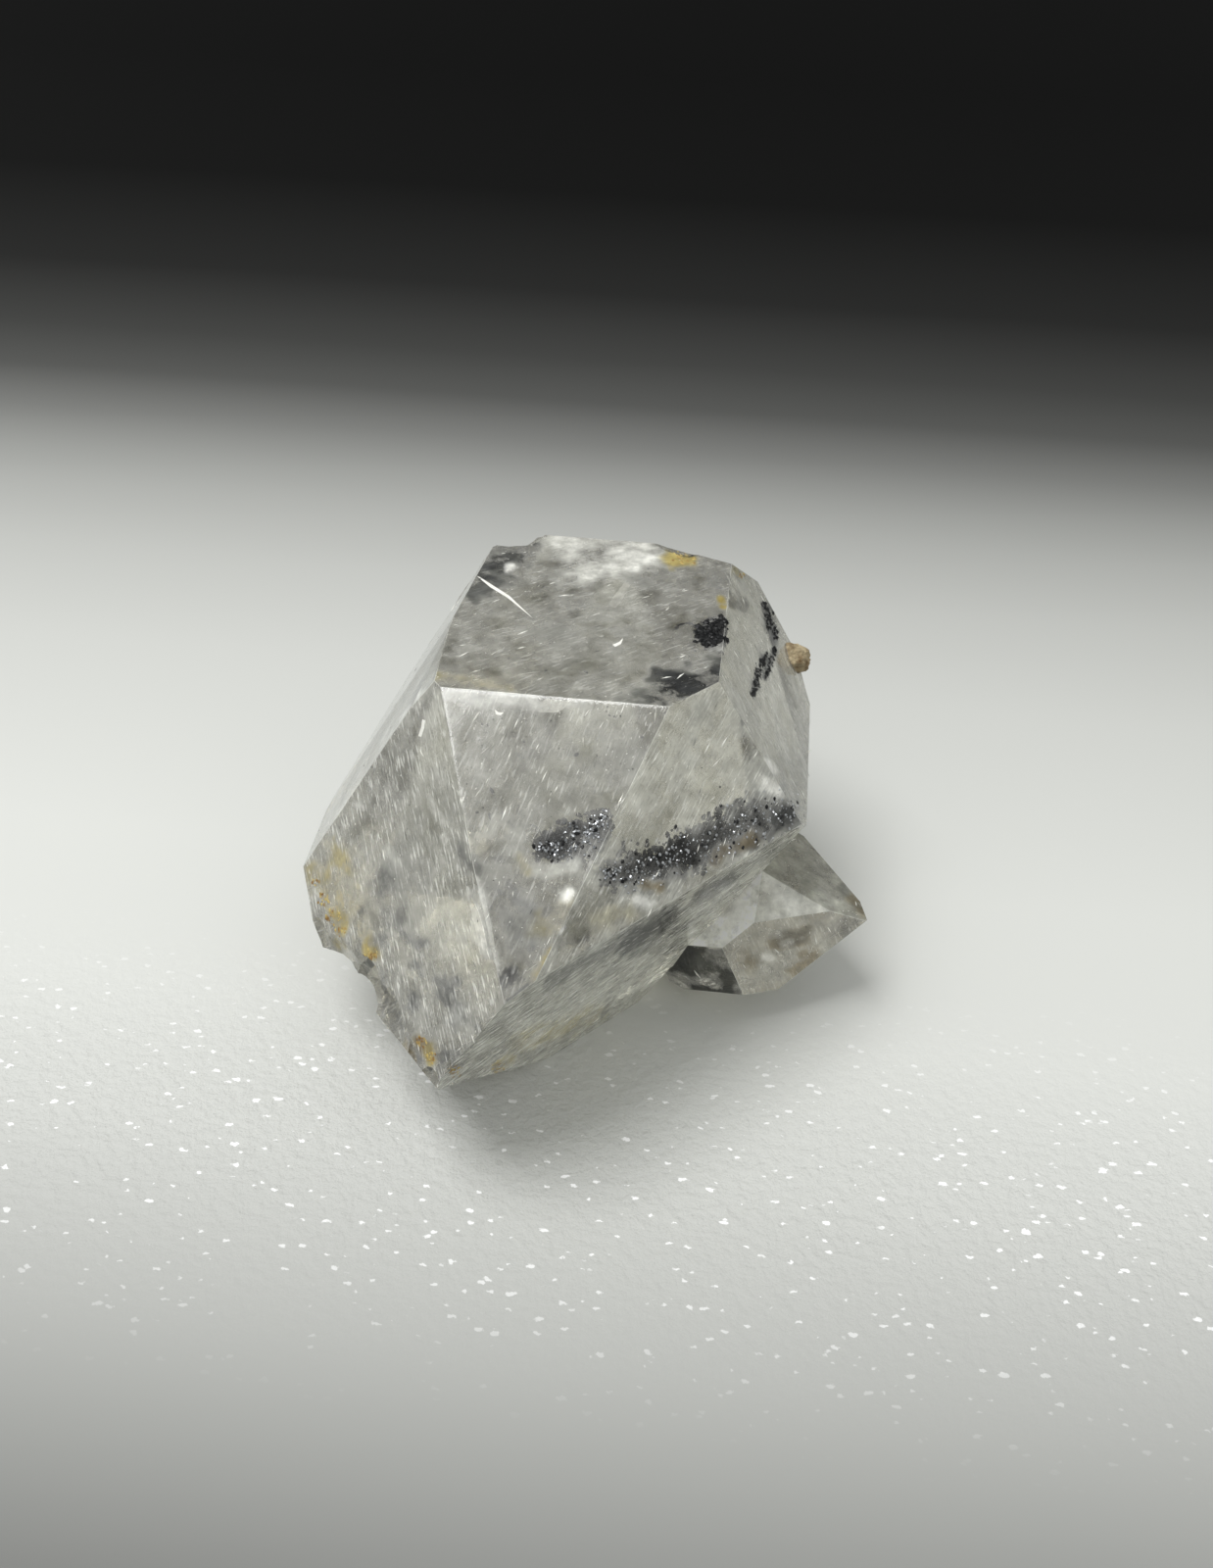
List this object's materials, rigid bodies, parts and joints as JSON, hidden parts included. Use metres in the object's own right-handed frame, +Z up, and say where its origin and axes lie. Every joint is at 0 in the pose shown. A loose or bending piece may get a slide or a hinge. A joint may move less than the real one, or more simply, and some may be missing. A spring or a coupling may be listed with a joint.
{
  "type": "herkimer diamond quartz",
  "caption": "Clear doubly terminated quartz crystal with a small crystal grown on its lower side, dark inclusions and a chipped edge; rests on a flat prism face as a display specimen.",
  "frame": {"origin": "under the middle of the whole, on the plane that it rests on", "axes": "+Z up; Y along the large crystal's long axis, -Y towards its near tip; +X to its right, where the small crystal grows"},
  "size_m": [0.0232, 0.0286, 0.0174],
  "materials": {
    "clear_quartz": "clear colourless quartz with a faint grey haze, glassy growth faces with fine striations",
    "healed_fracture": "silvery bubbles, flecks and cloudy veils of healed fractures inside the quartz",
    "anthraxolite": "black, glossy, angular grains inside the quartz",
    "iron_stain": "earthy yellow to orange brown iron oxide in the cracks and chips",
    "matrix_rock": "rough brown dolomite grain"
  },
  "bodies": {
    "root": {"herkimer_crystal": "clear_quartz"}
  },
  "joints": []
}
